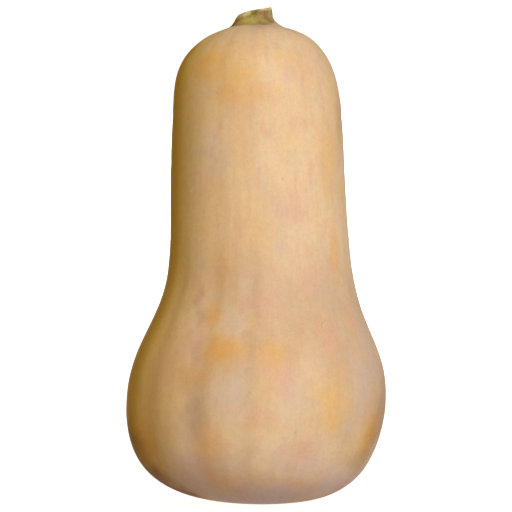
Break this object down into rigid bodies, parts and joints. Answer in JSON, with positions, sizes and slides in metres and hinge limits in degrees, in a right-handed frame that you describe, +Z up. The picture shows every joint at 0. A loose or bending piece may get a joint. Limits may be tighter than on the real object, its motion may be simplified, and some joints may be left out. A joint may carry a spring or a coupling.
{
  "type": "butternut squash",
  "caption": "Whole butternut squash standing upright on its blossom end, with a straight thick neck, a round shallow-grooved bulb and a trimmed stem stub.",
  "frame": {"origin": "under the middle of the squash's outline as seen from above, level with the flat ring that it stands on", "axes": "+Z up from the blossom end to the stem, -Y towards the side that the picture shows, +X to that view's right"},
  "size_m": [0.1264, 0.1246, 0.24],
  "materials": {
    "skin": "satin waxy skin, tan with warm orange and pinkish patches",
    "stem": "dry corky stem, olive and ochre with brown ribs"
  },
  "bodies": {
    "root": {"fruit": "skin", "stem": "stem"}
  },
  "joints": []
}
